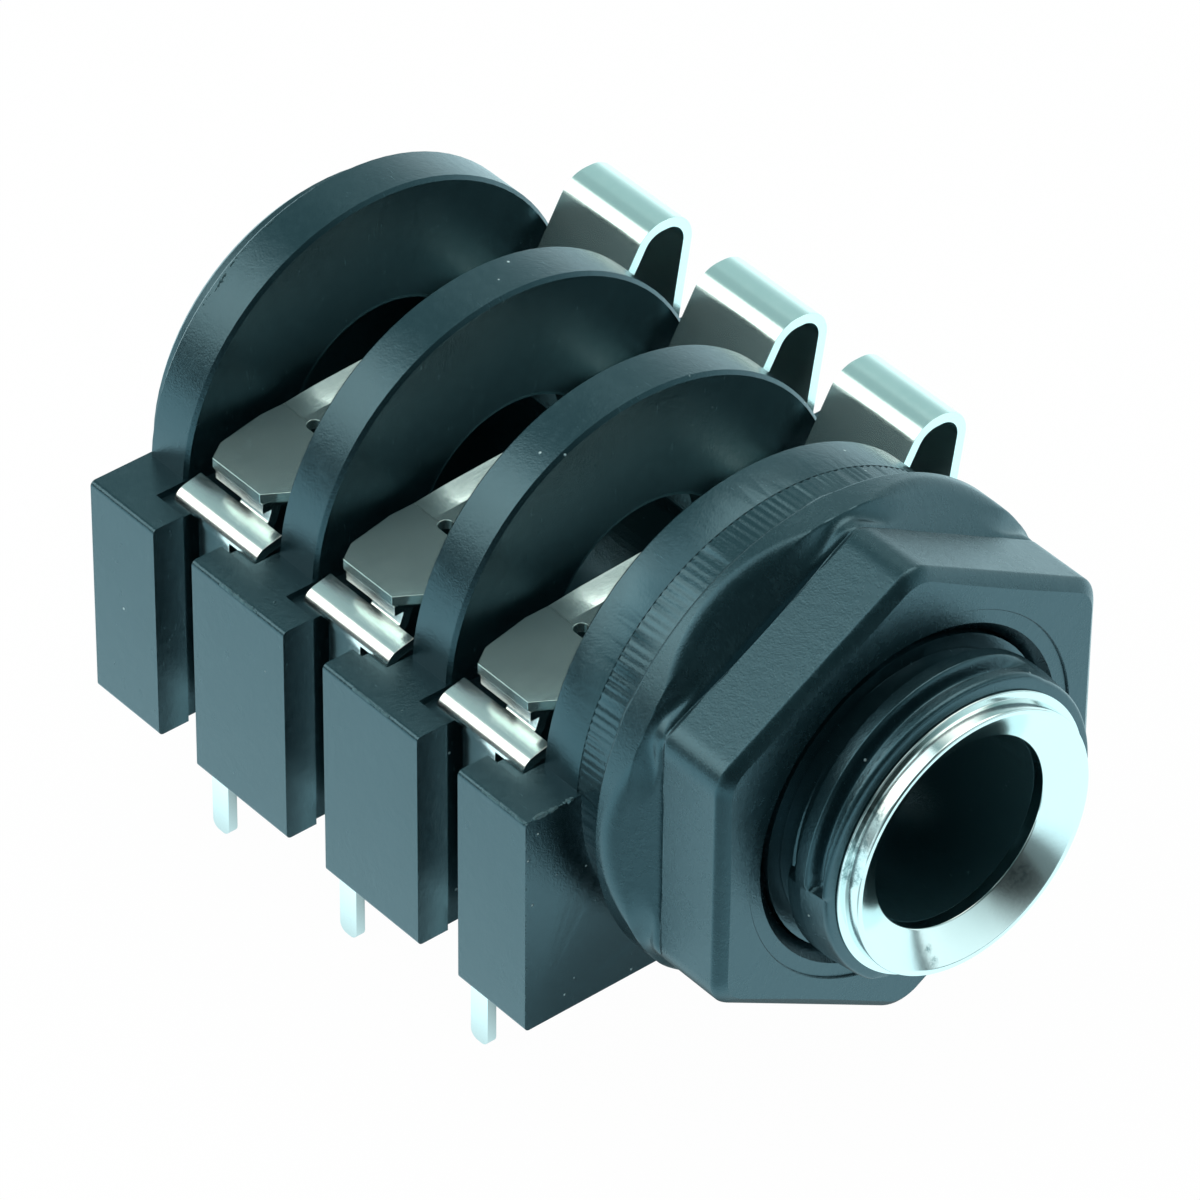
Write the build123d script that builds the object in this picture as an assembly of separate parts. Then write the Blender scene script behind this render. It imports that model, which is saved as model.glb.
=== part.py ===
from build123d import *
import os

# Switched stereo jack socket for a printed board, 6.35 mm plug size.
# X is the plug's axis and points out of the mouth, Y crosses the three contact bays, Z is up.
# The origin is on the axis, in the face that seats against the panel.

# The run of the moulding along the axis
bay_pitch = 6.35
bay_count = 3
wall_thickness = 1.8
disc_radius = 7.6
disc_edge_chamfer = 0.12
collar_radius = 7.75
collar_length = 1.25
collar_tooth_count = 180
collar_tooth_length = 1.45
collar_tooth_depth = 0.1
boss_radius = 6.9
boss_length = 1.0
boss_edge_chamfer = 0.3

# The block under the discs, cut by a slot on both sides of each bay
base_half_width = 9.85
base_top = 0.4
base_bottom = -7.66
base_corner_round = 0.18
slot_width = 1.9
slot_pocket_width = 2.3
slot_lip = 1.15
slot_depth = 2.35
seat_floor = 0.15

# The bore and the threaded bush
bore_radius = 3.25
channel_radius = 3.45
bore_end_wall = 0.6
bush_radius = 5.3
bush_length = 6.65
bush_edge_chamfer = 0.1
thread_root_radius = 4.8
thread_visible_length = 2.4

# The plated ferrule in the mouth: a coned ring with a skirt pressed into the bush
ferrule_flange_radius = 4.5
ferrule_flange_thickness = 0.65
ferrule_inset = 0.4
ferrule_cone_depth = 0.65
ferrule_lip = 0.16
ferrule_edge_chamfer = 0.08
skirt_radius = 4.1
skirt_wall = 0.35
skirt_length = 1.5
skirt_clearance = 0.02

# The panel nut
nut_across_flats = 14.6
nut_corner_radius = 8.25
nut_thickness = 4.45
nut_seat_gap = 0.05
nut_thread_clearance = 0.05
nut_edge_chamfer = 0.25
nut_face_recess_radius = 6.2
nut_face_recess_depth = 0.08
nut_mouth_chamfer = 0.35
flange_radius = 8.4
flange_bevel = 0.12
hollow_centre = 1.15
hollow_floor_width = 0.5
hollow_side_width = 0.35
hollow_depth = 0.25
hollow_half_length = 3.8

# Spring strips: sheet thickness, then the path across the bore, from the loop to the blade's end
sheet = 0.35
strip_width = 3.7
pin_width = 0.8
pin_length = 4.05
pin_tip_round = 0.3
pin_shoulder_rise = 0.3
pin_inset = 1.75
leg_width = 1.5
spring_lean = 0.93
spring_lean_height = -0.6
spring_lean_radius = 1.0
spring_shoulder_gap = 0.35
loop_top = 5.345
loop_span = 1.71
loop_outer_radius = 0.82
loop_inner_radius = 0.92
knee_run = 1.69
knee_height = 2.25
knee_radius = 0.8
blade_bend_radius = 1.5
blade_height = 1.755
blade_end_gap = 0.66
front_corner_long = 0.95
front_corner_short = 0.6
rear_corner_long = 0.65
rear_corner_short = 0.45
rear_taper_long = 1.8
rear_taper_short = 0.33
notch_inset = 3.4
notch_width = 0.5
notch_reach = 2.5
notch_end_round = 0.24

# The part of each strip over the bore is formed to a shallow channel, so that the plug can ride in under it
channel_half_length = 4.1
channel_run_in = 1.1
channel_floor_width = 1.8
channel_flank_rise = 0.22
channel_edge_inset = 0.15

# Break contacts: a rolled head on the seat, and a neck up to the bar that the blade rests on
head_width = 4.0
head_roll_radius = 0.42
head_length = 0.9
head_rise = 0.25
neck_foot_run = 0.2
neck_rise_run = 0.25
neck_bend_radius = 0.25
neck_rear = -0.1
neck_front = 1.25
bar_rear = -1.0
bar_front = 1.3
bar_overhang = 0.38
bar_depth = 1.2
blade_gap = 0.05

axis_line = Axis.X
front_wall = -collar_length
body_rear = front_wall - bay_count * bay_pitch - wall_thickness
bore_rear = body_rear - boss_length + bore_end_wall
bay_length = bay_pitch - wall_thickness
bay_centres = [front_wall - (i + 0.5) * bay_pitch - wall_thickness / 2 for i in range(bay_count)]
pin_tip = base_bottom - pin_length
spring_leg_offset = base_half_width - pin_inset
loop_outer_offset = spring_leg_offset + spring_lean
loop_inner_offset = loop_outer_offset - loop_span
knee_offset = loop_inner_offset - knee_run
contact_leg_offset = pin_inset - base_half_width
blade_end_offset = contact_leg_offset + blade_end_gap
notch_offset = blade_end_offset + notch_inset
head_edge_offset = contact_leg_offset + head_length
neck_foot_offset = head_edge_offset + neck_foot_run
neck_top_offset = neck_foot_offset + neck_rise_run
bar_edge_offset = neck_foot_offset - bar_overhang
bar_inner_offset = bar_edge_offset + bar_depth


def slab(x_low, x_high, y_low, y_high, z_low, z_high):
    """A box given by its limits."""
    size = (x_high - x_low, y_high - y_low, z_high - z_low)
    centre = ((x_low + x_high) / 2, (y_low + y_high) / 2, (z_low + z_high) / 2)
    return Pos(*centre) * Box(*size)


def rod(x_low, x_high, radius):
    """A cylinder on the plug's axis."""
    return Pos((x_low + x_high) / 2, 0, 0) * (Rot(0, 90, 0) * Cylinder(radius, x_high - x_low))


def turned(points):
    """A ring turned round the plug's axis from (x, radius) corners."""
    outline = Polyline(*[(x, 0, radius) for x, radius in points], close=True)
    return revolve(make_face(outline), axis_line, 360)


def edged_rod(x_low, x_high, radius, rear_chamfer, front_chamfer):
    """A cylinder on the plug's axis with its rims chamfered."""
    return turned([(x_low, 0), (x_low, radius - rear_chamfer), (x_low + rear_chamfer, radius),
                   (x_high - front_chamfer, radius), (x_high, radius - front_chamfer), (x_high, 0)])


def strip_face(points, radii, thickness):
    """The section of a bent sheet: its middle line in (y, z), with a bend radius for each inner point."""
    middle = [Vector(0, y, z) for y, z in points]
    runs = [(b - a).normalized() for a, b in zip(middle, middle[1:])]
    across = [Vector(0, -run.Z, run.Y) for run in runs]
    turns = [first.Y * second.Z - first.Z * second.Y for first, second in zip(runs, runs[1:])]
    sides = []
    for side in (1, -1):
        reach = side * thickness / 2
        corners = [middle[0] + across[0] * reach]
        for point, first, second in zip(middle[1:-1], across, across[1:]):
            corners.append(point + (first + second) * (reach / (1 + first.dot(second))))
        corners.append(middle[-1] + across[-1] * reach)
        bends = [radius - abs(reach) if reach * turn > 0 else radius + abs(reach)
                 for radius, turn in zip(radii, turns)]
        sides.append(FilletPolyline(*corners, radius=bends))
    ends = [Line(sides[0] @ 0, sides[1] @ 0), Line(sides[0] @ 1, sides[1] @ 1)]
    return make_face(Curve() + sides + ends)


def bent_sheet(points, radii, width):
    """A strip of sheet metal bent along a middle line, centred on x = 0."""
    return extrude(strip_face(points, radii, sheet), width / 2, dir=(1, 0, 0), both=True)


def trimmed_leg(solid, leg_offset, shoulder_height):
    """Narrows a strip below its shoulder to the leg, and below the moulding to the round-ended pin."""
    reach = strip_width + head_width
    deep = abs(pin_tip) + shoulder_height + 1
    low_y, high_y = leg_offset - 1, leg_offset + 1
    for side in (-1, 1):
        beside_leg = slab(min(side * leg_width / 2, side * reach), max(side * leg_width / 2, side * reach),
                          low_y, high_y, shoulder_height - deep, shoulder_height)
        beside_pin = slab(min(side * pin_width / 2, side * reach), max(side * pin_width / 2, side * reach),
                          low_y, high_y, shoulder_height - deep, base_bottom + pin_shoulder_rise)
        solid -= beside_leg
        solid -= beside_pin
    tips = solid.edges().filter_by(Axis.Y).group_by(Axis.Z)[0]
    return fillet(tips, pin_tip_round)


def toothed_collar():
    """The front disc wall, carried forward as a collar with fine teeth round its panel edge."""
    rear = front_wall - wall_thickness
    step = 360 / collar_tooth_count
    rim = []
    for i in range(collar_tooth_count):
        rim.append(Vector(0, collar_radius, 0).rotate(axis_line, i * step))
        rim.append(Vector(0, collar_radius - collar_tooth_depth, 0).rotate(axis_line, (i + 0.5) * step))
    teeth = extrude(Pos(-collar_tooth_length, 0, 0) * make_face(Polyline(*rim, close=True)),
                    collar_tooth_length, dir=(1, 0, 0))
    return turned([(rear, 0), (rear, collar_radius - disc_edge_chamfer),
                   (rear + disc_edge_chamfer, collar_radius), (-collar_tooth_length, collar_radius),
                   (-collar_tooth_length, 0)]) + teeth


def make_body():
    """The one black moulding: four disc walls, the slotted block, the rear boss and the bush."""
    solid = slab(body_rear, front_wall, -base_half_width, base_half_width, base_bottom, base_top)
    solid = fillet(solid.edges().filter_by(Axis.X), base_corner_round)
    for centre in bay_centres:
        low_x, high_x = centre - bay_length / 2, centre + bay_length / 2
        floor_edge = base_half_width - slot_lip
        solid -= slab(low_x, high_x, -floor_edge, floor_edge, seat_floor, base_top + 1)
        for side in (-1, 1):
            outer = side * (base_half_width + 1)
            lip = side * floor_edge
            inner = side * (base_half_width - slot_depth)
            solid -= slab(centre - slot_width / 2, centre + slot_width / 2,
                          min(outer, inner), max(outer, inner), base_bottom - 1, base_top + 1)
            solid -= slab(centre - slot_pocket_width / 2, centre + slot_pocket_width / 2,
                          min(lip, inner), max(lip, inner), base_bottom - 1, base_top + 1)
    for i in range(1, bay_count + 1):
        front = front_wall - i * bay_pitch
        solid += edged_rod(front - wall_thickness, front, disc_radius, disc_edge_chamfer, disc_edge_chamfer)
    solid += toothed_collar()
    boss_rear = body_rear - boss_length
    solid += turned([(boss_rear, 0), (boss_rear, boss_radius - boss_edge_chamfer),
                     (boss_rear + boss_edge_chamfer, boss_radius), (body_rear, boss_radius), (body_rear, 0)])
    thread_start = bush_length - thread_visible_length
    solid += rod(0, thread_start, bush_radius)
    solid += turned([(thread_start, 0), (thread_start, thread_root_radius),
                     (bush_length - bush_edge_chamfer, thread_root_radius),
                     (bush_length, thread_root_radius - bush_edge_chamfer), (bush_length, 0)])
    front_wall_rear = front_wall - wall_thickness
    solid -= rod(bore_rear, front_wall_rear, channel_radius)
    solid -= rod(front_wall_rear - 1, bush_length + 1, bore_radius)
    seat = bush_length - ferrule_inset
    solid -= rod(seat, bush_length + 1, skirt_radius + skirt_clearance)
    groove_outside = rod(seat - skirt_length - skirt_clearance, seat + 1, skirt_radius + skirt_clearance)
    groove_inside = rod(0, bush_length, skirt_radius - skirt_wall - skirt_clearance)
    return solid - (groove_outside - groove_inside)


def make_ferrule():
    """The plated ring: a coned face on a flange, with a skirt down the bush."""
    front = bush_length + ferrule_flange_thickness
    seat = bush_length - ferrule_inset
    skirt_inside = skirt_radius - skirt_wall
    return turned([
        (seat - skirt_length, skirt_inside),
        (seat - skirt_length, skirt_radius),
        (bush_length, skirt_radius),
        (bush_length, ferrule_flange_radius - ferrule_edge_chamfer),
        (bush_length + ferrule_edge_chamfer, ferrule_flange_radius),
        (front - ferrule_edge_chamfer, ferrule_flange_radius),
        (front, ferrule_flange_radius - ferrule_edge_chamfer),
        (front, ferrule_flange_radius - ferrule_lip),
        (front - ferrule_cone_depth, bore_radius),
        (seat, bore_radius),
        (seat, skirt_inside),
    ])


def make_nut():
    """The panel nut: a hexagon with blunt corners on a flange, scooped out above each flat."""
    rear = nut_seat_gap
    front = rear + nut_thickness
    apothem = nut_across_flats / 2
    hollow_place = rear + hollow_centre
    solid = turned([(rear, 0), (rear, nut_corner_radius), (front - nut_edge_chamfer, nut_corner_radius),
                    (front, nut_corner_radius - nut_edge_chamfer), (front, 0)])
    flange = edged_rod(rear, hollow_place, flange_radius, flange_bevel, flange_bevel)
    flat_cut = slab(hollow_place, front + 1, -flange_radius, flange_radius, apothem, flange_radius + 1)
    cutter_radius = (hollow_half_length ** 2 + hollow_depth ** 2) / (2 * hollow_depth)
    outer, inner = hollow_floor_width / 2 + hollow_side_width, hollow_floor_width / 2
    cutter_edge = make_face(Polyline((-inner, cutter_radius), (inner, cutter_radius),
                                     (outer, cutter_radius - hollow_depth),
                                     (outer, 0), (-outer, 0), (-outer, cutter_radius - hollow_depth),
                                     close=True))
    cutter = revolve(cutter_edge, axis_line, 360)
    hollow = Pos(hollow_place, 0, apothem - hollow_depth + cutter_radius) * cutter
    solid += flange
    for i in range(6):
        turn = Rot(i * 60 + 30, 0, 0)
        solid -= turn * flat_cut
        solid -= turn * hollow
    hole_radius = bush_radius + nut_thread_clearance
    face = front - nut_face_recess_depth
    solid -= rod(rear - 1, front + 1, hole_radius)
    solid -= rod(face, front + 1, nut_face_recess_radius)
    mouth_cone = turned([(face - nut_mouth_chamfer, 0), (face - nut_mouth_chamfer, hole_radius),
                         (face, hole_radius + nut_mouth_chamfer), (face, 0)])
    return solid - mouth_cone


def formed_channel():
    """The strip over the bore: its edges rise on both sides of a flat floor, as far as the plug reaches."""
    slope = (knee_height - blade_height) / (knee_offset + channel_half_length)
    half, floor = strip_width / 2, channel_floor_width / 2
    formed = channel_half_length - channel_run_in
    sections = []
    for y, rise, inset in ((-channel_half_length, 0, 0), (-formed, channel_flank_rise, channel_edge_inset),
                           (formed, channel_flank_rise, channel_edge_inset), (channel_half_length, 0, 0)):
        top = blade_height + sheet / 2 + slope * (y + channel_half_length)
        outline = [(inset - half, top + rise), (-floor, top), (floor, top), (half - inset, top + rise)]
        outline += [(x, z - sheet) for x, z in reversed(outline)]
        sections.append(make_face(Polyline(*[(x, y, z) for x, z in outline], close=True)))
    return loft(sections, ruled=True)


def make_spring():
    """One spring contact: pin, leg in the slot, loop over the edge, and the blade across the bore."""
    middle_line = [
        (spring_leg_offset, pin_tip),
        (spring_leg_offset, spring_lean_height),
        (loop_outer_offset, loop_top - sheet / 2),
        (loop_inner_offset, loop_top - sheet / 2),
        (knee_offset, knee_height),
        (-channel_half_length, blade_height),
        (blade_end_offset, blade_height),
    ]
    solid = bent_sheet(middle_line, [spring_lean_radius, loop_outer_radius, loop_inner_radius,
                                     knee_radius, blade_bend_radius], strip_width)
    solid = trimmed_leg(solid, spring_leg_offset, base_top + spring_shoulder_gap)
    solid -= slab(-strip_width, strip_width, -channel_half_length, channel_half_length, 0, knee_height + 1)
    solid += formed_channel()
    end, half = blade_end_offset, strip_width / 2
    front_corner = [(half, end), (half - front_corner_short, end), (half, end + front_corner_long)]
    rear_corner = [(-half, end), (-half, end + rear_corner_long + rear_taper_long),
                   (rear_taper_short - half, end + rear_corner_long),
                   (rear_taper_short + rear_corner_short - half, end)]
    for corner in (front_corner, rear_corner):
        solid -= extrude(make_face(Polyline(*corner, close=True)), blade_height + 1)
    notch = slab(strip_width / 2 - notch_reach, strip_width, notch_offset - notch_width / 2,
                 notch_offset + notch_width / 2, 0, blade_height + 1)
    notch = fillet(notch.edges().filter_by(Axis.Z).group_by(axis_line)[0], notch_end_round)
    return solid - notch


def make_break_contact():
    """One break contact: pin and leg in the slot, rolled head on the seat, neck and bar under the blade."""
    head_middle = seat_floor + sheet / 2
    crest = blade_height - sheet - blade_gap
    middle_line = [
        (contact_leg_offset, pin_tip),
        (contact_leg_offset, head_middle),
        (neck_foot_offset, head_middle + head_rise),
        (neck_top_offset, crest),
        (bar_inner_offset, crest),
    ]
    solid = bent_sheet(middle_line, [head_roll_radius, neck_bend_radius, neck_bend_radius], head_width)
    solid = trimmed_leg(solid, contact_leg_offset, seat_floor)
    for low_x, high_x in ((-head_width, neck_rear), (neck_front, head_width)):
        solid -= slab(low_x, high_x, head_edge_offset, 0, 0, blade_height)
    return solid + slab(bar_rear, bar_front, bar_edge_offset, bar_inner_offset,
                        crest - sheet / 2, crest + sheet / 2)


os.makedirs("parts", exist_ok=True)
export_step(make_body(), "parts/body.step")
export_step(make_ferrule(), "parts/ferrule.step")
export_step(make_nut(), "parts/hex_nut.step")
spring = make_spring()
break_contact = make_break_contact()
contact_names = ["sleeve", "ring", "tip"]
for name, centre in zip(contact_names, bay_centres):
    export_step(Pos(centre, 0, 0) * spring, f"parts/{name}_spring.step")
    export_step(Pos(centre, 0, 0) * break_contact, f"parts/{name}_break_contact.step")
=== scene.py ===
import bpy, bmesh
import numpy as np
from mathutils import Matrix, Vector


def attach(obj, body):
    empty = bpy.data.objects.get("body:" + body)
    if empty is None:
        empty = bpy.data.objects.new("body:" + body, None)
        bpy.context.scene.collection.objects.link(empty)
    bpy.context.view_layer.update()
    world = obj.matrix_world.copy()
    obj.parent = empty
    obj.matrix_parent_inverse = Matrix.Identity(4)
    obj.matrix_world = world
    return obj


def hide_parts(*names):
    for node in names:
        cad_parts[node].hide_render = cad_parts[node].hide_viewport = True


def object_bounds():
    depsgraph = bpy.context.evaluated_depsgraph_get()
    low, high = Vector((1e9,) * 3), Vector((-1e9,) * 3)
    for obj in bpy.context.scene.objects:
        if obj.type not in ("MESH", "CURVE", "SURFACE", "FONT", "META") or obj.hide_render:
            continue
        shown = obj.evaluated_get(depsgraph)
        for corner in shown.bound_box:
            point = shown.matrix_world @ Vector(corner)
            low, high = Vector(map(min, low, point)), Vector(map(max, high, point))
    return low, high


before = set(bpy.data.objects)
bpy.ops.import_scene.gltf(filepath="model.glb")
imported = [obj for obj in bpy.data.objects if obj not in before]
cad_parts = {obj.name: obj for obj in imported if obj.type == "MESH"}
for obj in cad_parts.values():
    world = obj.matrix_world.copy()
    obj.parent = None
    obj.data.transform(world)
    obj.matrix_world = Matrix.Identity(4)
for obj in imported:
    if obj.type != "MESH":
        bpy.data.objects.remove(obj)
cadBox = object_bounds()
mm = 0.001
contactNames = ("sleeve", "ring", "tip")
print("frame loaded:", len(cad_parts), "nodes")


# Camera, fitted to the photograph
cameraSettings = {
    "place": (147.9149, -133.0399, 164.3824),      # mm
    "right": (0.640262, 0.768117, 0.007816),
    "up": (-0.485346, 0.396631, 0.779181),
    "back": (0.595402, -0.502673, 0.626750),
    "lens": 262.159, "sensorWidth": 36,      # mm
    "clip": (0.01, 10),      # metres
}


# The directions to the camera's right, above it and behind it are the columns of its turn
def makeCamera(s):
    data = bpy.data.cameras.new("photoCamera")
    data.sensor_width, data.lens = s["sensorWidth"], s["lens"]
    data.clip_start, data.clip_end = s["clip"]
    camera = bpy.data.objects.new("photoCamera", data)
    turn = Matrix((s["right"], s["up"], s["back"])).transposed()
    camera.matrix_world = Matrix.Translation([c * mm for c in s["place"]]) @ turn.to_4x4()
    bpy.context.collection.objects.link(camera)
    bpy.context.scene.camera = camera


makeCamera(cameraSettings)
bpy.context.scene.view_settings.view_transform = "Standard"


# Shader maths: a socket with plain operators, and one way to any other node
class Shade:
    def __init__(self, tree, socket=None):
        self.tree, self.socket = tree, socket

    def node(self, kind, settings=None, inputs=None, output=0):
        made = self.tree.nodes.new("ShaderNode" + kind)
        for name, value in (settings or {}).items():
            setattr(made, name, value)
        for name, value in (inputs or {}).items():
            if isinstance(value, Shade):
                self.tree.links.new(value.socket, made.inputs[name])
            else:
                made.inputs[name].default_value = value
        return Shade(self.tree, made.outputs[output]) if made.outputs else made

    def sums(self, operation, first, second=0.0):
        return self.node("Math", {"operation": operation}, {0: first, 1: second})

    def __add__(self, other): return self.sums("ADD", self, other)
    def __radd__(self, other): return self.sums("ADD", other, self)
    def __sub__(self, other): return self.sums("SUBTRACT", self, other)
    def __rsub__(self, other): return self.sums("SUBTRACT", other, self)
    def __mul__(self, other): return self.sums("MULTIPLY", self, other)
    def __rmul__(self, other): return self.sums("MULTIPLY", other, self)
    def __gt__(self, other): return self.sums("GREATER_THAN", self, other)
    def __abs__(self): return self.sums("ABSOLUTE", self)
    def atLeast(self, other): return self.sums("MAXIMUM", self, other)
    def atMost(self, other): return self.sums("MINIMUM", self, other)

    def ramp(self, low, high):      # 0 below low, 1 above high, smooth between
        return self.node("MapRange", {"interpolation_type": "SMOOTHSTEP"},
                         {"Value": self, "From Min": low, "From Max": high})

    def blend(self, first, second):      # this value mixes two colours
        return self.node("Mix", {"data_type": "RGBA"}, {0: self, 6: first, 7: second}, output=2)


def newMaterial(name):
    material = bpy.data.materials.new(name)
    material.use_nodes = True
    tree = material.node_tree
    tree.nodes.clear()
    return material, Shade(tree)


def closeMaterial(shade, inputs):
    surface = shade.node("BsdfPrincipled", None, inputs)
    shade.node("OutputMaterial", None, {"Surface": surface})


def places(shade, stretch=(1, 1, 1)):      # object coordinates in mm
    spot = shade.node("TexCoord", output=3)
    return shade.node("Mapping", None, {"Vector": spot, "Scale": [c / mm for c in stretch]})


def axis(shade, spot, which):      # its x, y or z, by number
    return shade.node("SeparateXYZ", None, {"Vector": spot}, output=which)


def distance(shade, first, second):
    return shade.node("VectorMath", {"operation": "DISTANCE"}, {0: first, 1: second}, output=1)


def noise(shade, spot, scale, detail, rough=0.55):
    return shade.node("TexNoise", None,
                      {"Vector": spot, "Scale": scale, "Detail": detail, "Roughness": rough})


def relief(shade, height):      # height in mm
    return shade.node("Bump", None, {"Strength": 1.0, "Distance": mm, "Height": height})


# Black moulded plastic. A pattern is a noise with its scale per mm, its detail and its roughness
plasticFinish = {
    "colour": (0.006, 0.017, 0.021, 1), "worn": (0.022, 0.046, 0.053, 1),
    "dust": (0.55, 0.66, 0.68, 1), "sheen": (0.46, 0.85, 1.0, 1), "roughness": 0.22, "ior": 1.90,
    "cloud": (0.55, 4.0), "mottle": (3.2, 5.0, 0.7), "grain": (16.0, 3.0, 0.6),
    "rubs": (2.4, 5.0, 0.75), "rubStretch": (1.0, 6.0, 0.7), "rubEdge": (0.60, 0.74),
    "mottleEdge": (0.50, 0.78),
    "wear": (0.55, 0.35),      # share of the worn colour from mottle and from rubs
    "uneven": (0.16, 0.14, 0.08),      # roughness from cloud, mottle and rubs
    "relief": (0.008, 0.0096, 0.02),      # mm of height from grain, mottle and dust
    "dustScale": 1.7, "dustShare": 0.10, "dustEdge": (0.05, 0.10),
    "inside": (0.0, 0.0),      # squares of the two radii in mm between which the bore's painted light ends
    "boreLightEnd": (-22.9, -22.6), "boreLightColour": (0.030, 0.070, 0.080, 1),
}


# Mottle and rubs mix in the worn colour. A speck of dust sits in the middle of some cells of a pattern.
# Inside the bore, in front of its end, one lighter colour lies over all: painted light that stands in for
# the light the bore lacks
def mouldedPlastic(name, s, **changes):
    s = {**s, **changes}
    material, shade = newMaterial(name)
    spot = places(shade)
    cloud, mottle, grain = (noise(shade, spot, *s[kind]) for kind in ("cloud", "mottle", "grain"))
    rubs = noise(shade, places(shade, s["rubStretch"]), *s["rubs"]).ramp(*s["rubEdge"])
    cells = {"feature": "F1", "distance": "EUCLIDEAN"}
    speckPlace = {"Vector": spot, "Scale": s["dustScale"], "Randomness": 1.0}
    near = shade.node("TexVoronoi", cells, speckPlace, output=0)
    pick = shade.node("TexVoronoi", cells, speckPlace, output=1)
    chosen = shade.node("SeparateColor", None, {"Color": pick}, output=0) > 1 - s["dustShare"]
    dust = (1 - near.ramp(*s["dustEdge"])) * chosen
    wear = mottle.ramp(*s["mottleEdge"]) * s["wear"][0] + rubs * s["wear"][1]
    colour = dust.blend(wear.blend(s["colour"], s["worn"]), s["dust"])
    # Painted light: a lighter colour over the inside of the bore
    if s["inside"][1]:
        east, north, up = (axis(shade, spot, which) for which in range(3))
        outside = (north * north + up * up).ramp(*s["inside"]).atLeast(1 - east.ramp(*s["boreLightEnd"]))
        colour = outside.blend(s["boreLightColour"], colour)
    byCloud, byMottle, byRubs = s["uneven"]
    roughness = s["roughness"] + (cloud - 0.5) * byCloud + (mottle - 0.5) * byMottle + rubs * byRubs
    fromGrain, fromMottle, fromDust = s["relief"]
    height = grain * fromGrain + mottle * fromMottle + dust * fromDust
    closeMaterial(shade, {"Base Color": colour, "Roughness": roughness, "Normal": relief(shade, height),
                          "IOR": s["ior"], "Specular Tint": s["sheen"]})
    return material


# Plated metal. A smudge is a dark mottled mark, partly painted dark reflection and partly real dull
# smudging: a place in mm and the reach over which it fades
metalFinish = {
    "colour": (0.94, 0.99, 0.97, 1), "dull": (0.60, 0.72, 0.70, 1), "smudge": (0.22, 0.32, 0.33, 1),
    "roughness": 0.15, "metallic": 1.0, "streak": (1.0, 0.12, 1.0),
    "streaks": (9.0, 4.0, 0.7), "cloud": (0.9, 4.0), "stains": (2.6, 5.0, 0.7),
    "speckle": (5.5, 5.0, 0.75),
    "streakEdge": (0.56, 0.80), "stainEdge": (0.60, 0.80), "speckleEdge": (0.44, 0.60),
    "streakShare": 0.20, "stain": 0.25,      # share of the dull colour
    "smudgeCore": 0.35,      # share of its reach in which a smudge is whole
    "smudgeShare": (0.6, 0.25),      # in its speckles, and all over
    "uneven": (0.10, 0.08, 0.2),      # roughness from streaks, cloud and stains
    "wave": 0.0012, "cloudWave": 4,      # mm of height from streaks, and how many times that from cloud
}
# Dark marks on the ring where it reflects the nut and the shaded floor: painted dark reflections, with
# some real dull smudging
ringSmudgesAndPaintedReflections = (((6.72, -3.55, 2.75), 0.75), ((6.75, -4.05, 1.95), 0.75), ((6.85, -4.35, 1.0), 0.6),
               ((7.0, -1.38, -3.0), 0.24), ((7.05, -1.34, -3.5), 0.24), ((7.1, -1.30, -3.95), 0.24),
               ((7.0, 2.25, -2.7), 0.6), ((6.9, -3.6, 0.3), 0.4))


# Streaks and stains mix in the dull colour. Smudges mix in the smudge colour as painted dark reflections
# with some real dulling, and at a place where smudges meet the strongest one counts
def platedMetal(name, s, smudgesAndReflections=(), **changes):
    s = {**s, **changes}
    material, shade = newMaterial(name)
    spot = places(shade)
    streaks = noise(shade, places(shade, s["streak"]), *s["streaks"])
    cloud = noise(shade, spot, *s["cloud"])
    stains = noise(shade, spot, *s["stains"]).ramp(*s["stainEdge"])
    dull = stains * s["stain"] + streaks.ramp(*s["streakEdge"]) * s["streakShare"]
    colour = dull.blend(s["colour"], s["dull"])
    # Painted reflection: dark speckled marks at set places on the ring, partly real dull smudging
    if smudgesAndReflections:
        mark = 0.0
        for place, reach in smudgesAndReflections:
            away = distance(shade, spot, place)
            mark = (1 - away.ramp(reach * s["smudgeCore"], reach)).atLeast(mark)
        inSpeckles, everywhere = s["smudgeShare"]
        speckle = noise(shade, spot, *s["speckle"]).ramp(*s["speckleEdge"])
        mark = mark * (speckle * inSpeckles + everywhere)
        colour = mark.blend(colour, s["smudge"])
        stains = stains.atLeast(mark)
    byStreaks, byCloud, byStains = s["uneven"]
    roughness = (s["roughness"] + (streaks - 0.5) * byStreaks + (cloud - 0.5) * byCloud
                 + stains * (s["stain"] * byStains))
    height = cloud * (s["wave"] * s["cloudWave"]) + streaks * s["wave"]
    closeMaterial(shade, {"Base Color": colour, "Roughness": roughness, "Normal": relief(shade, height),
                          "Metallic": s["metallic"]})
    return material


# The body's plastic carries the painted light inside the bore
bodyPlastic = mouldedPlastic("bodyPlastic", plasticFinish, inside=(11.9, 13.0))
wornPlastic = mouldedPlastic("wornPlastic", plasticFinish, colour=(0.05, 0.085, 0.09, 1),
                             worn=(0.16, 0.22, 0.22, 1), roughness=0.45)
nutPlastic = mouldedPlastic("nutPlastic", plasticFinish, roughness=0.26, dustShare=0.05)
springMetal = platedMetal("springMetal", metalFinish, colour=(0.81, 1.0, 0.97, 1), roughness=0.16,
                          metallic=0.89)
contactMetal = platedMetal("contactMetal", metalFinish, roughness=0.20, streak=(0.2, 1.0, 1.0))
ferrulePlating = platedMetal("ferrulePlating", metalFinish, colour=(0.76, 0.86, 0.85, 1), roughness=0.13,
                             streak=(1, 1, 1), wave=0.0004, smudgesAndReflections=ringSmudgesAndPaintedReflections)
print("materials made")


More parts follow.
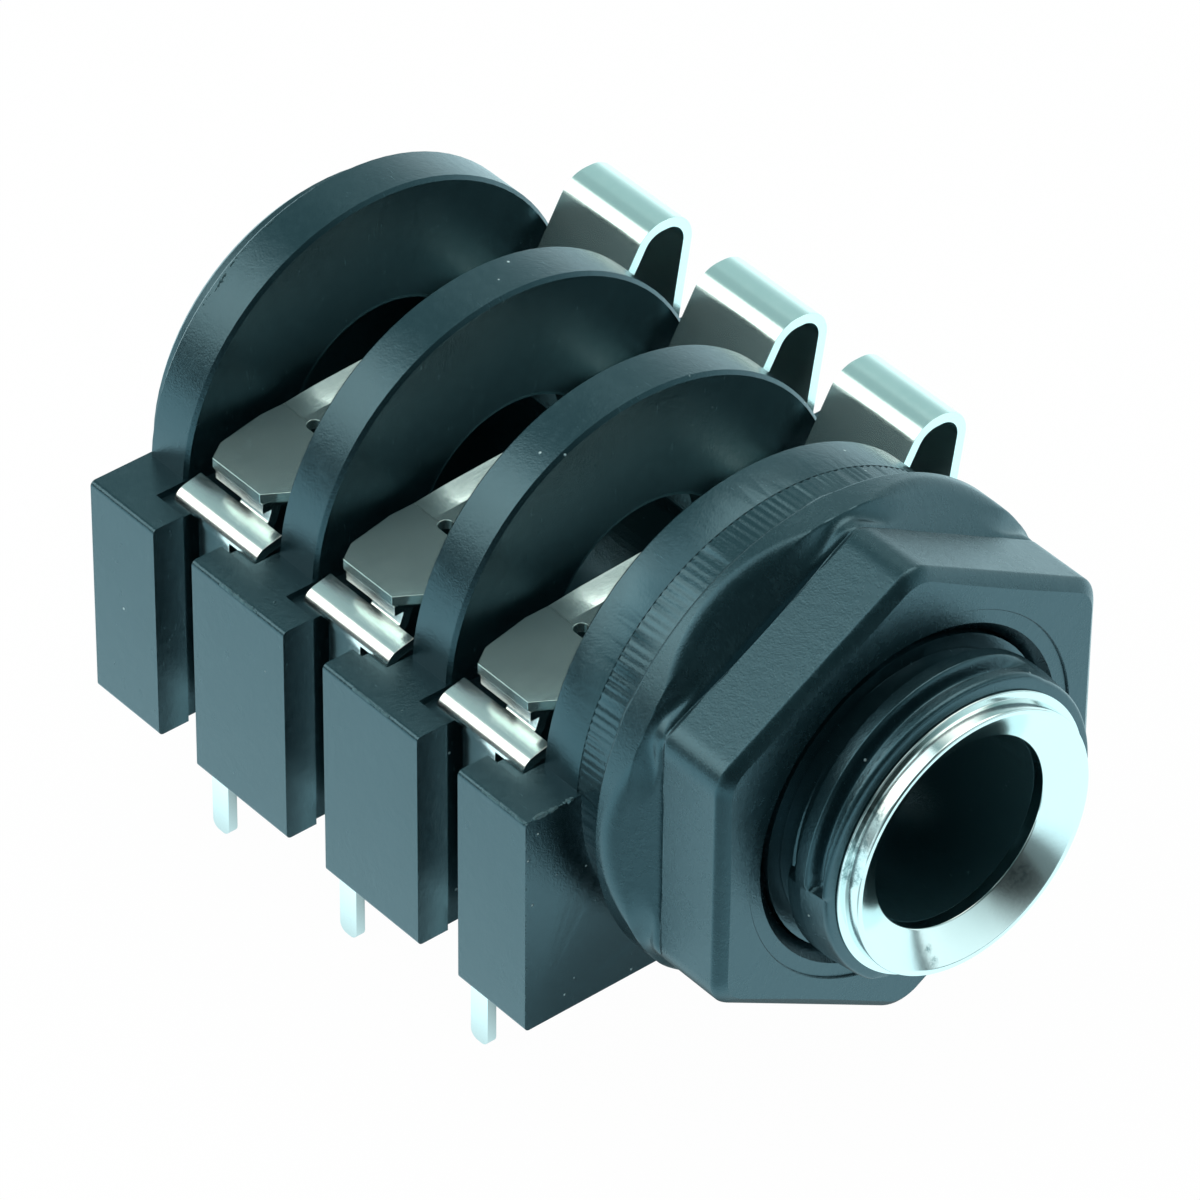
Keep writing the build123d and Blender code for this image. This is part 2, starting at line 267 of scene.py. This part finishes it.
# Putting a finished piece in the scene
def addPiece(name, mesh, material, body, replaced=()):
    piece = bpy.data.objects.new(name, mesh)
    bpy.context.collection.objects.link(piece)
    mesh.materials.append(material)
    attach(piece, body)
    if replaced:
        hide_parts(*replaced)
    return piece


def smoothByAngle(mesh, degrees):
    mesh.shade_smooth()
    mesh.set_sharp_from_angle(angle=np.radians(degrees))


def fade(value, width):      # 0 below zero, 1 past the width, straight between
    return np.clip(value / width, 0, 1)


# A closed ring surface from rows of x and radius, each over all angles: the vertex of row i at angle j is
# (x, -radius times the angle's sine, radius times its cosine), and the last row joins the first
def ringSurface(name, rowX, rowRadius):
    rows, turns = rowRadius.shape
    angle = np.linspace(0, 2 * np.pi, turns, endpoint=False)
    points = np.stack([rowX, -rowRadius * np.sin(angle), rowRadius * np.cos(angle)], axis=-1) * mm
    i, j = np.meshgrid(np.arange(rows), np.arange(turns), indexing="ij")
    below, beside = (i + 1) % rows, (j + 1) % turns
    corners = [i * turns + j, below * turns + j, below * turns + beside, i * turns + beside]
    faces = np.stack(corners, axis=-1).reshape(-1, 4)
    mesh = bpy.data.meshes.new(name)
    mesh.from_pydata(points.reshape(-1, 3).tolist(), [], faces.tolist())
    return mesh


# Rounds the corners of a closed (x, radius) outline: each corner becomes a quadratic curve between points
# that lie its rounding away along both sides, and no rounding takes more than the most of a side
def roundedOutline(corners, steps=6, most=0.48):
    corners = np.array(corners, float)
    spots, bends = corners[:, :2], corners[:, 2]
    before, after = np.roll(spots, 1, axis=0), np.roll(spots, -1, axis=0)
    lengthIn = np.linalg.norm(before - spots, axis=1)
    lengthOut = np.linalg.norm(after - spots, axis=1)
    start = spots + (before - spots) / lengthIn[:, None] * np.minimum(bends, lengthIn * most)[:, None]
    end = spots + (after - spots) / lengthOut[:, None] * np.minimum(bends, lengthOut * most)[:, None]
    t = np.linspace(0, 1, steps)[None, :, None]
    curve = (1 - t) ** 2 * start[:, None] + 2 * t * (1 - t) * spots[:, None] + t ** 2 * end[:, None]
    return curve.reshape(-1, 2)


# The moulding and the strips
softEdges = {
    "weld": 0.0004, "bodyEdge": 0.05, "stripEdge": 0.045,      # mm
    "flatAngle": 0.5, "smoothAngle": 30, "bevelAngle": 34, "segments": 2,
}


# The CAD's own mesh, welded, its flat faces joined, its points moved by reshape, its sharp edges rounded
def softened(name, node, material, body, edge, reshape=None, s=softEdges):
    work = bmesh.new()
    work.from_mesh(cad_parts[node].data)
    bmesh.ops.remove_doubles(work, verts=work.verts, dist=s["weld"] * mm)
    bmesh.ops.dissolve_limit(work, angle_limit=np.radians(s["flatAngle"]), verts=work.verts,
                             edges=work.edges, delimit={"NORMAL"})
    mesh = bpy.data.meshes.new(name)
    work.to_mesh(mesh)
    work.free()
    if reshape:
        spots = np.empty(len(mesh.vertices) * 3)
        mesh.vertices.foreach_get("co", spots)
        mesh.vertices.foreach_set("co", reshape(spots.reshape(-1, 3)).ravel())
        mesh.update()
    smoothByAngle(mesh, s["smoothAngle"])
    piece = addPiece(name, mesh, material, body, [node])
    bevel = piece.modifiers.new("softEdges", "BEVEL")
    bevel.limit_method, bevel.angle_limit = "ANGLE", np.radians(s["bevelAngle"])
    bevel.width, bevel.segments = edge * mm, s["segments"]
    bevel.use_clamp_overlap = bevel.harden_normals = True


collarTeeth = {"rear": -1.46, "front": 0.001, "crest": 7.75, "valley": 7.62, "keep": 0.38}


# The real teeth on the collar's rim are worn low: a point in them keeps a share of its drop from the crest
def wornTeeth(spots, s=collarTeeth):
    x, radius = spots[:, 0] / mm, np.hypot(spots[:, 1], spots[:, 2]) / mm
    inTeeth = (x > s["rear"]) & (x < s["front"]) & (radius > s["valley"]) & (radius < s["crest"])
    worn = np.where(inTeeth, s["crest"] - (s["crest"] - radius) * s["keep"], radius)
    spots = spots.copy()
    spots[:, 1:] *= (worn / np.maximum(radius, 1e-6))[:, None]
    return spots


softened("bodyMoulding", "body", bodyPlastic, "housing", softEdges["bodyEdge"], wornTeeth)
for contactName in contactNames:
    softened(contactName + "SpringStrip", contactName + "_spring", springMetal,
             contactName + "_contact", softEdges["stripEdge"])
    softened(contactName + "BreakStrip", contactName + "_break_contact", contactMetal,
             "housing", softEdges["stripEdge"])
print("moulding and strips softened")


# The thread on the bush. The flanks lie along x, as shares of the pitch from the ridge's rear foot; the
# smooth sides lie along half a turn, as shares of a turn
threadShape = {
    "start": 4.30, "end": 6.63, "endRound": 0.16, "inside": 4.55, "root": 4.80, "rootLift": 0.01,
    "crest": 5.24, "pitch": 1.17, "foot": 4.99, "rearFlank": 0.09, "frontFlank": 0.44, "frontFoot": 0.70,
    "smoothFrom": 0.244, "smoothIn": 0.003, "smoothTo": 0.42, "smoothOut": 0.03,
    "smoothHeight": 0.93, "smoothSlope": 0.25, "slopeFrom": 5.6, "hiddenTo": (4.70, 5.05),
    "rows": 140, "turns": 360, "smoothAngle": 40,
}


# Radius over angle and x: a ridge with a steep rear flank and a sloping front one runs along a right-hand
# helix. On both sides of the bush there is no groove: the height is even there and falls a little towards
# the front. The ridge fades out under the nut, and the bush's end is rounded by a quarter circle
def makeThread(s):
    x = np.linspace(s["start"], s["end"], s["rows"])[:, None] + np.zeros((1, s["turns"]))
    turn = np.linspace(0, 1, s["turns"], endpoint=False)[None, :]
    share = ((x - s["foot"]) / s["pitch"] - turn) % 1
    fall = 1 - fade(share - s["frontFlank"], s["frontFoot"] - s["frontFlank"])
    ridge = np.minimum(fade(share, s["rearFlank"]), fall * fall * (3 - 2 * fall))
    side = turn % 0.5
    smooth = fade(side - s["smoothFrom"], s["smoothIn"]) * fade(s["smoothTo"] - side, s["smoothOut"])
    even = s["smoothHeight"] - s["smoothSlope"] * np.clip(x - s["slopeFrom"], 0, None)
    hiddenFrom, hiddenTo = s["hiddenTo"]
    ridge = (ridge + (even - ridge) * smooth) * fade(x - hiddenFrom, hiddenTo - hiddenFrom)
    past = np.clip(x - (s["end"] - s["endRound"]), 0, s["endRound"])
    endDrop = s["endRound"] - np.sqrt(s["endRound"] ** 2 - past ** 2)
    radius = s["root"] + s["rootLift"] + (s["crest"] - s["root"] - endDrop) * ridge
    ends = np.full((1, s["turns"]), s["inside"])
    mesh = ringSurface("bushThread", np.concatenate([x[:1], x, x[-1:]]),
                       np.concatenate([ends, radius, ends]))
    smoothByAngle(mesh, s["smoothAngle"])
    addPiece("bushThread", mesh, bodyPlastic, "housing")


makeThread(threadShape)
print("thread made")


# The plated ring in the mouth
ferruleShape = {      # each corner has its x, its radius and its rounding
    "outline": ((4.75, 3.75, 0.05), (4.75, 4.10, 0.05), (6.65, 4.10, 0.02), (6.65, 4.77, 0.02),
                (6.73, 4.77, 0.05), (6.76, 4.52, 0.03), (7.30, 4.50, 0.09), (7.30, 4.35, 0.06),
                (6.65, 3.25, 0.05), (6.25, 3.25, 0.02), (6.25, 3.75, 0.02)),
    "turns": 320, "smoothAngle": 32,
}


# The rounded outline, the same at every angle
def makeFerrule(s):
    outline = roundedOutline(s["outline"])
    allRound = np.zeros((1, s["turns"]))
    mesh = ringSurface("mouthRing", outline[:, :1] + allRound, outline[:, 1:] + allRound)
    smoothByAngle(mesh, s["smoothAngle"])
    addPiece("mouthRing", mesh, ferrulePlating, "housing", ["ferrule"])


makeFerrule(ferruleShape)
print("mouth ring made")


# The panel nut
nutShape = {
    "rear": 0.05, "front": 4.50, "apothem": 7.30, "cornerRadius": 8.25, "edgeRound": 0.16,
    "frontRound": 0.38, "frontPower": 1.5, "flangeRadius": 8.40, "flangeFront": 1.20,
    "flangeBevel": 0.12, "flangeSlope": 1.6, "flangeBlend": 0.32,
    "hollowPlace": 1.72, "hollowDepth": 0.28, "hollowHalf": 4.05,
    "hollowRear": 1.02, "hollowRise": 1.30, "rearPower": 0.92,      # the long slope to the flange
    "hollowFront": 0.20, "hollowLip": 0.34, "lipPower": 1.7,      # the short slope in front
    "creaseBlend": 0.05, "hollowBlend": 0.28,
    "blendRear": (0.15, 0.3), "blendTips": (2.5, 1.2),      # where the softer blend starts, and its width
    "rowStops": (0.25, 2.30, 4.10), "rowCounts": (8, 64, 9, 16), "turns": 720, "smoothAngle": 34,
    # rows of the face, recess, mouth, bore and back: x, share of the rim's radius, and what is added to it
    "faceRows": ((4.50, 1, -0.1), (4.50, 0.5, 3.10), (4.50, 0, 6.23), (4.47, 0, 6.20), (4.42, 0, 6.20),
                 (4.42, 0, 5.74), (4.38, 0, 5.70), (4.07, 0, 5.37), (4.03, 0, 5.35), (2.40, 0, 5.35),
                 (0.05, 0, 5.35), (0.05, 0, 6.80)),
}


# The smaller of two lengths, with the crease between them rounded over the given width
def softLess(first, second, width):
    gap = np.clip(0.5 + 0.5 * (second - first) / width, 0, 1)
    return second * (1 - gap) + first * gap - width * gap * (1 - gap)


# Radius over angle and x: the smaller of a hexagon and the corner circle, drawn in at the front rim; the
# larger of that and the flange; the smaller of that and a hollow, which has a shallow circle across each
# flat, a long slope up to the flange and a short one in front
def makeNut(s):
    angle = np.linspace(0, 2 * np.pi, s["turns"], endpoint=False)[None, :]
    stops = (s["rear"], *s["rowStops"], s["front"])
    x = np.unique(np.concatenate([np.linspace(low, high, count) for low, high, count
                                  in zip(stops, stops[1:], s["rowCounts"])]))[:, None]
    offFlat = (angle % (np.pi / 3)) - np.pi / 6      # angle from the middle of the nearest flat
    flat = s["apothem"] / np.cos(offFlat)
    hexagon = softLess(flat, s["cornerRadius"] + 0 * flat, s["edgeRound"])
    rimDrop = fade(x - (s["front"] - s["frontRound"]), s["frontRound"])
    hexagon = hexagon - s["frontRound"] * rimDrop ** s["frontPower"]
    bevelRear = np.clip(s["rear"] + s["flangeBevel"] - x, 0, None)
    bevelFront = np.clip(x - (s["flangeFront"] - s["flangeBevel"]), 0, None) * s["flangeSlope"]
    flange = s["flangeRadius"] - bevelRear - bevelFront + 0 * angle
    radius = np.minimum(-softLess(-hexagon, -flange, s["flangeBlend"]), s["flangeRadius"])
    cutterRadius = (s["hollowHalf"] ** 2 + s["hollowDepth"] ** 2) / (2 * s["hollowDepth"])
    along = s["apothem"] * np.tan(offFlat)
    behind = np.clip((s["hollowPlace"] - x) / s["hollowRear"], 0, None)
    before = np.clip((x - s["hollowPlace"]) / s["hollowFront"], 0, None)
    lift = s["hollowRise"] * behind ** s["rearPower"] + s["hollowLip"] * before ** s["lipPower"]
    hollow = s["apothem"] - s["hollowDepth"] + along ** 2 / (2 * cutterRadius) + lift
    (rearFrom, rearWidth), (tipsFrom, tipsWidth) = s["blendRear"], s["blendTips"]
    soft = np.maximum(fade(s["hollowPlace"] - rearFrom - x, rearWidth),
                      fade(np.abs(along) - tipsFrom, tipsWidth))
    radius = softLess(radius, hollow / np.cos(offFlat), s["creaseBlend"] + s["hollowBlend"] * soft)
    rim = radius[-1:]
    rowX = np.concatenate([x + 0 * angle] + [place + 0 * rim for place, share, added in s["faceRows"]])
    rowRadius = np.concatenate([radius] + [rim * share + added for place, share, added in s["faceRows"]])
    mesh = ringSurface("panelNut", rowX, rowRadius)
    smoothByAngle(mesh, s["smoothAngle"])
    addPiece("panelNut", mesh, nutPlastic, "nut", ["hex_nut"])


makeNut(nutShape)
print("nut made")


# Ragged flash along moulded edges. Each run has its two ends, the way its height and its width point, both
# lengths, and the share of it that is bare
flashRuns = (
    ((-1.27, -9.835, 0.25), (-1.27, -9.835, -7.45), (1, 0, 0), (0, 1, 0), 0.07, 0.12, 0.35),
    ((-1.30, -9.80, 0.37), (-1.30, -7.90, 0.37), (0.7, 0, 0.7), (-0.7, 0, 0.7), 0.26, 0.16, 0.10),
    ((-1.35, -9.80, 0.37), (-3.30, -9.80, 0.37), (0, 0, 1), (0, 1, 0), 0.08, 0.16, 0.45),
    ((-7.62, -9.80, 0.37), (-9.35, -9.80, 0.37), (0, 0, 1), (0, 1, 0), 0.08, 0.16, 0.30),
    ((-13.97, -9.80, 0.37), (-15.75, -9.80, 0.37), (0, 0, 1), (0, 1, 0), 0.10, 0.18, 0.15),
    ((-7.62, -9.75, 0.35), (-7.62, -8.90, 0.35), (0.7, 0, 0.7), (-0.7, 0, 0.7), 0.12, 0.12, 0.30),
    ((-13.97, -9.75, 0.35), (-13.97, -9.00, 0.35), (0.7, 0, 0.7), (-0.7, 0, 0.7), 0.12, 0.12, 0.30),
    ((-21.93, -2.72, 7.10), (-21.93, -4.14, 6.37), (0, -0.45, 0.89), (1, 0, 0), 0.08, 0.10, 0.30),
    ((-21.95, -4.14, 6.37), (-21.80, -5.18, 5.56), (0, -0.62, 0.79), (1, 0, 0), 0.11, 0.16, 0.10),
    ((-21.88, -5.18, 5.56), (-21.95, -6.30, 4.25), (0, -0.76, 0.65), (1, 0, 0), 0.08, 0.10, 0.35),
)
flashShape = {
    "step": 0.035, "fewest": 12, "seed": 11, "sink": 0.05, "footHalf": 0.02, "nearSide": -9.849,
    "rates": (1.3, 2.1, 3.7, 5.9, 9.1, 14, 21, 31, 43),      # waves in 2 mm
    "weights": (1, 1, 1, 0.8, 0.8, 0.6, 0.6, 0.5, 0.5), "calm": 2.2,
    "middle": 0.55, "swing": 0.45, "endFade": 1 / 12, "leanShare": 0.25, "crestShare": 0.15,
    "smoothAngle": 50,
}


# A ridge is a bar of four sides along its run. Its crest's height and lean are sums of sines along it, cut
# off below zero, so that the ridge breaks up and ends in nothing. It stays behind the blocks' near side
def flashRidge(run, s, chance):
    start, end, up, across = (np.array(c, float) for c in run[:4])
    height, width, bare = run[4:]
    length, count = np.linalg.norm(end - start), len(s["rates"])
    steps = max(int(length / s["step"]), s["fewest"])
    t = np.linspace(0, 1, steps)
    waves = chance.uniform(0.5, 1.0, (2, count)) * s["weights"] / s["calm"]
    turns = 2 * np.pi * np.outer(t, np.array(s["rates"]) * length / 2)
    phase = chance.uniform(0, 2 * np.pi, (2, count))
    high, lean = (np.sin(turns + phase[k]) @ waves[k] for k in (0, 1))
    size = np.clip(s["middle"] - bare + s["swing"] * high, 0, 1) * fade(np.minimum(t, 1 - t), s["endFade"])
    line = start + (end - start) * t[:, None]
    half = s["footHalf"] + width / 2 * np.sqrt(size)[:, None]
    top = half * s["crestShare"]
    crest = line + up * (height * size)[:, None] + across * (width * s["leanShare"] * lean * size)[:, None]
    rows = np.stack([line - across * half - up * s["sink"], crest - across * top,
                     crest + across * top, line + across * half - up * s["sink"]])
    rows[..., 1] = np.maximum(rows[..., 1], s["nearSide"])
    i, j = np.meshgrid(np.arange(4), np.arange(steps - 1), indexing="ij")
    beside = (i + 1) % 4
    corners = [i * steps + j, i * steps + j + 1, beside * steps + j + 1, beside * steps + j]
    faces = np.stack(corners, axis=-1).reshape(-1, 4)
    caps = [[3 * steps, 2 * steps, steps, 0], [c * steps + steps - 1 for c in range(4)]]
    return rows.reshape(-1, 3) * mm, faces.tolist() + caps


# All runs in one mesh: each one's faces count on from the points before it
def makeFlash(runs, s):
    chance = np.random.default_rng(s["seed"])
    points, faces, count = [], [], 0
    for run in runs:
        spots, corners = flashRidge(run, s, chance)
        points.append(spots)
        faces += [[c + count for c in corner] for corner in corners]
        count += len(spots)
    mesh = bpy.data.meshes.new("edgeFlash")
    mesh.from_pydata(np.concatenate(points).tolist(), [], faces)
    work = bmesh.new()
    work.from_mesh(mesh)
    bmesh.ops.recalc_face_normals(work, faces=work.faces)
    work.to_mesh(mesh)
    work.free()
    smoothByAngle(mesh, s["smoothAngle"])
    addPiece("edgeFlash", mesh, wornPlastic, "housing")


makeFlash(flashRuns, flashShape)
print("edge flash made")


# Floor, world and lamp
studio = {
    "floorSize": 0.8, "floorColour": (1, 1, 1, 1), "floorGlow": 0.985, "floorTint": (0.70, 0.95, 1.0, 1),
    "floorGloss": 1.42, "farDim": (32, 75, 0.85),      # x from and to in mm, and the share that is lost
    "footprint": (-8.6, 11.5, 6.0),      # mm: the middle's x, and the half lengths of the painted shadow under the part
    "footprintEdge": 4.5, "footprintShadowGlow": 0.22,
    # A painted shadow of the camera on the floor: its place in mm, its reach and the share of glow it
    # takes
    "cameraShadowPlace": (17.0, -25.0, -11.7), "cameraShadowReach": (8.0, 17.0), "cameraShadowShare": 0.6,
    "horizon": (0.80, 0.98, 1.0, 1), "zenith": (0.20, 0.31, 0.315, 1), "zenithFrom": 0.62,
    "skyStrength": 1.3, "skyLeast": 0.06, "boxColour": (1.0, 0.98, 0.92, 1), "whiteFrom": 0.3,
    # each has its direction, the degrees to its core's edge and to its own, and the light it adds
    "softboxes": (((-0.595, -0.571, 0.566), 13, 24, 0.85), ((-0.595, -0.80, 0.12), 8, 15, -1.26),
                  ((-0.05, 0.40, 0.88), 15, 33, 0.9), ((-0.595, 0.503, 0.627), 6, 22, 0.25),
                  ((0.66, -0.45, 0.60), 22, 62, -0.95), ((0.95, -0.29, 0.12), 12, 34, -0.8)),
}
white = (1, 1, 1, 1)


# The floor is white to the camera. To other rays it glows less under the part, a painted shadow, about one
# place in front of it, a painted shadow of the camera, and far out in front
def makeFloor(s):
    half, level = s["floorSize"] / 2, cadBox[0][2]
    corners = [(-half, -half, level), (half, -half, level), (half, half, level), (-half, half, level)]
    mesh = bpy.data.meshes.new("floor")
    mesh.from_pydata(corners, [], [(0, 1, 2, 3)])
    floor = bpy.data.objects.new("floor", mesh)
    bpy.context.collection.objects.link(floor)
    material, shade = newMaterial("paleFloor")
    camera, glossy, through = (shade.node("LightPath", output=kind) for kind in (0, 3, 6))
    matte = shade.node("BsdfDiffuse", None, {"Color": s["floorColour"]})
    spot = places(shade)
    east, north = axis(shade, spot, 0), axis(shade, spot, 1)
    # Painted shadow: under the part the floor glows less to reflections
    middle, halfX, halfY = s["footprint"]
    clearX = abs(east - middle).ramp(halfX, halfX + s["footprintEdge"])
    clearY = abs(north).ramp(halfY, halfY + s["footprintEdge"])
    clear = 1 - (1 - clearX) * (1 - clearY)
    lit = clear * (1 - s["footprintShadowGlow"]) + s["footprintShadowGlow"]
    # Painted shadow of the camera: a round patch where the floor glows less to reflections
    near = 1 - distance(shade, spot, s["cameraShadowPlace"]).ramp(*s["cameraShadowReach"])
    farFrom, farTo, farShare = s["farDim"]
    lit = lit * (1 - near * s["cameraShadowShare"]) * (1 - east.ramp(farFrom, farTo) * farShare)
    shown = lit * (1 - camera) * s["floorGloss"] + camera
    glow = shade.node("Emission", None, {"Color": camera.blend(s["floorTint"], white), "Strength": shown})
    seen = (camera + glossy + through).atMost(1.0) * s["floorGlow"]
    surface = shade.node("MixShader", None, {0: seen, 1: matte, 2: glow})
    shade.node("OutputMaterial", None, {"Surface": surface})
    mesh.materials.append(material)


# The sky is brightest at the horizon and dims upwards. Each softbox is a soft round patch that adds light
# or takes it away, and a bright one has its own white. The camera sees plain white
def makeWorld(s):
    world = bpy.data.worlds.new("studioSky")
    bpy.context.scene.world = world
    world.use_nodes = True
    world.node_tree.nodes.clear()
    shade = Shade(world.node_tree)
    ray = shade.node("TexCoord", output=0)
    colour = axis(shade, ray, 2).ramp(0.0, s["zenithFrom"]).blend(s["horizon"], s["zenith"])
    strength = s["skyStrength"]
    for centre, inner, outer, gain in s["softboxes"]:
        centre = (np.array(centre) / np.linalg.norm(centre)).tolist()
        toward = shade.node("VectorMath", {"operation": "DOT_PRODUCT"}, {0: ray, 1: centre}, output=1)
        patch = toward.ramp(*np.cos(np.radians([outer, inner])).tolist())
        strength = patch * gain + strength
        if gain > s["whiteFrom"]:
            colour = patch.blend(colour, s["boxColour"])
    light = shade.node("Background", None, {"Color": colour, "Strength": strength.atLeast(s["skyLeast"])})
    seen = shade.node("Background", None, {"Color": white, "Strength": 1.0})
    camera = shade.node("LightPath", output=0)
    surface = shade.node("MixShader", None, {0: camera, 1: light, 2: seen})
    shade.node("OutputWorld", None, {"Surface": surface})


lampSettings = {
    "place": (-60, -140, 260), "target": (-8, 0, 0),      # mm
    "size": 0.22, "power": 0.18, "colour": (0.95, 1.0, 1.0),
}


# A square lamp that shines from its place towards the target
def makeLamp(s):
    data = bpy.data.lights.new("topLamp", "AREA")
    data.shape, data.size = "SQUARE", s["size"]
    data.energy, data.color = s["power"], s["colour"]
    lamp = bpy.data.objects.new("topLamp", data)
    bpy.context.collection.objects.link(lamp)
    place, target = Vector(s["place"]) * mm, Vector(s["target"]) * mm
    turn = (place - target).to_track_quat("Z", "Y").to_matrix().to_4x4()
    lamp.matrix_world = Matrix.Translation(place) @ turn


makeFloor(studio)
makeWorld(studio)
makeLamp(lampSettings)
print("stage, sky and lamp made")
